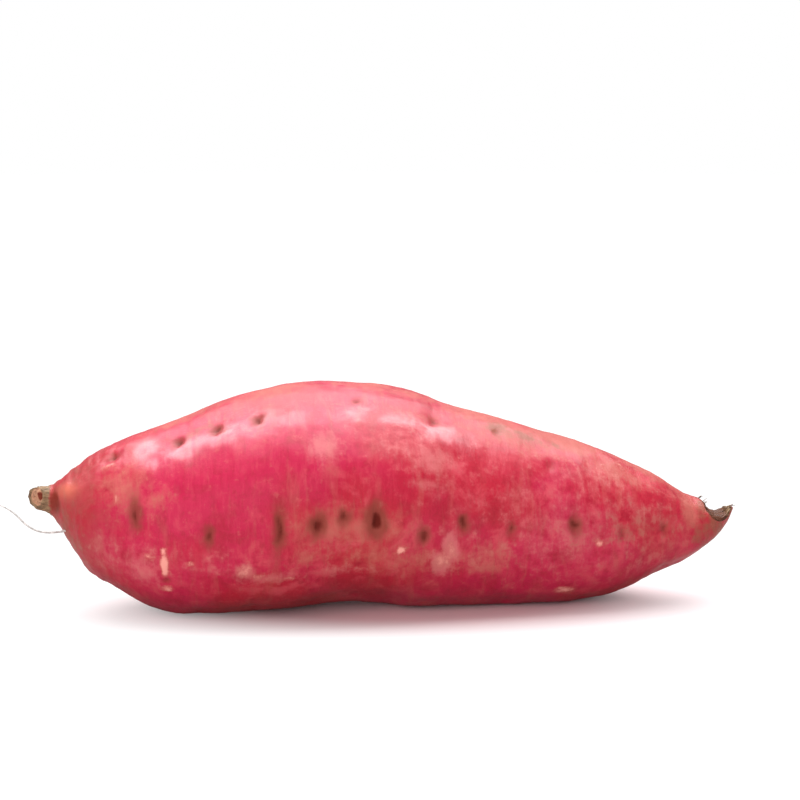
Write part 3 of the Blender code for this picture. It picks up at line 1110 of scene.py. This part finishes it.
class SWEETPOTATO_OT_stage(bpy.types.Operator):
    """Set up the pale floor, the soft studio lights and the camera"""

    bl_idname = "sweet_potato.stage"
    bl_label = "Stage"

    def execute(self, context):
        look = context.scene.sweet_potato_stage
        self.add_floor(look)
        self.add_surround(context, look)
        for name, (place, size, mirrored) in LIGHTS.items():
            self.add_light(name, place, size, getattr(look, name), mirrored)
        self.add_camera(context, look)
        context.scene.view_settings.view_transform = "Standard"
        return {"FINISHED"}

    def add_floor(self, look):
        floor = bmesh.new()
        bmesh.ops.create_circle(floor, cap_ends=True, segments=FLOOR_SEGMENTS, radius=FLOOR_RADIUS)
        mesh = bpy.data.meshes.new("floor")
        floor.to_mesh(mesh)
        floor.free()
        material, nodes = empty_material("pale_floor")
        metres = nodes.node("ShaderNodeTexCoord", {}, {}, "Object")
        stretch = {0: metres, 1: (*FLOOR_OVAL, 1.0), 2: (FLOOR_SHIFT, 0.0, 0.0)}
        oval = nodes.node("ShaderNodeVectorMath", {"operation": "MULTIPLY_ADD"}, stretch)
        away = nodes.node("ShaderNodeVectorMath", {"operation": "LENGTH"}, {0: oval}, "Value")
        # The floor's pink is a painted reflection of the root; it shows only in the root's shade, as lit
        # floor clips to white
        shade = rgba(look.painted_floor_reflection)
        sheen = nodes.principled({"Base Color": shade, "Roughness": look.floor_sheen, "IOR": 1.45})
        # Painted glow: beyond an oval round the root the floor glows white, which paints out the root's
        # shadow
        white = nodes.node("ShaderNodeEmission", {}, {"Color": rgba(WHITE), "Strength": FLOOR_PAINTED_GLOW})
        share = nodes.step(away, *FLOOR_MELT)
        shown = nodes.node("ShaderNodeMixShader", {}, {0: share, 1: sheen, 2: white})
        thrown = nodes.node("ShaderNodeBsdfDiffuse", {}, {"Color": rgba(look.floor_bounce)})
        seen = nodes.node("ShaderNodeLightPath", {}, {}, "Is Camera Ray")
        nodes.finish(nodes.node("ShaderNodeMixShader", {}, {0: seen, 1: thrown, 2: shown}))
        mesh.materials.append(material)
        piece = bpy.data.objects.new("floor", mesh)
        bpy.context.scene.collection.objects.link(piece)

    def add_surround(self, context, look):
        world = bpy.data.worlds.new("studio")
        world.use_nodes = True
        world.node_tree.nodes.clear()
        nodes = Nodes(world.node_tree)
        seen = nodes.node("ShaderNodeLightPath", {}, {}, "Is Camera Ray")
        light = nodes.node("ShaderNodeBackground", {}, {"Color": rgba(WHITE), "Strength": look.surround})
        white = nodes.node("ShaderNodeBackground", {}, {"Color": rgba(WHITE), "Strength": 1.0})
        shown = nodes.node("ShaderNodeMixShader", {}, {0: seen, 1: light, 2: white})
        nodes.finish(shown, "ShaderNodeOutputWorld")
        context.scene.world = world

    def add_light(self, name, place, size, power, mirrored):
        """A soft light that looks at the root; one that isn't mirrored leaves no glare on it."""
        light = bpy.data.lights.new(name, "AREA")
        light.shape = "RECTANGLE"
        light.size, light.size_y = size
        light.energy = power
        holder = bpy.data.objects.new(name, light)
        holder.visible_glossy = mirrored
        holder.location = place
        to_root = Vector(LIGHT_AIM) - Vector(place)
        holder.rotation_euler = to_root.to_track_quat("-Z", "Y").to_euler()
        bpy.context.scene.collection.objects.link(holder)

    def add_camera(self, context, look):
        camera = bpy.data.cameras.new("camera")
        camera.lens, camera.sensor_width = LENS, SENSOR
        holder = bpy.data.objects.new("camera", camera)
        level, high = math.cos(look.elevation), math.sin(look.elevation)
        back = Vector((math.sin(look.azimuth) * level, -math.cos(look.azimuth) * level, high))
        holder.location = Vector(CAMERA_AIM) + back * look.distance
        holder.rotation_euler = back.to_track_quat("Z", "Y").to_euler()
        context.scene.collection.objects.link(holder)
        context.scene.camera = holder


PIECES = (
    (SWEETPOTATO_OT_skin, "sweet_potato_skin", SweetPotatoSkin),
    (SWEETPOTATO_OT_hair_root, "sweet_potato_hair", SweetPotatoHair),
    (SWEETPOTATO_OT_fibres, "sweet_potato_fibres", SweetPotatoFibres),
    (SWEETPOTATO_OT_stage, "sweet_potato_stage", SweetPotatoStage),
)


class VIEW3D_PT_sweet_potato(bpy.types.Panel):
    """The pieces of the sweet potato and their settings"""

    bl_label = "Sweet Potato"
    bl_idname = "VIEW3D_PT_sweet_potato"
    bl_space_type = "VIEW_3D"
    bl_region_type = "UI"
    bl_category = "Sweet Potato"

    def draw(self, context):
        for operator, name, group in PIECES:
            box = self.layout.box()
            box.operator(operator.bl_idname)
            for setting in group.__annotations__:
                box.prop(getattr(context.scene, name), setting)


def register():
    for operator, name, group in PIECES:
        bpy.utils.register_class(group)
        setattr(bpy.types.Scene, name, PointerProperty(type=group))
        bpy.utils.register_class(operator)
    bpy.utils.register_class(VIEW3D_PT_sweet_potato)


def unregister():
    bpy.utils.unregister_class(VIEW3D_PT_sweet_potato)
    for operator, name, group in reversed(PIECES):
        bpy.utils.unregister_class(operator)
        delattr(bpy.types.Scene, name)
        bpy.utils.unregister_class(group)


def main():
    register()
    bpy.ops.sweet_potato.skin()
    bpy.ops.sweet_potato.hair_root()
    bpy.ops.sweet_potato.fibres()
    bpy.ops.sweet_potato.stage()


if __name__ == "__main__":
    main()
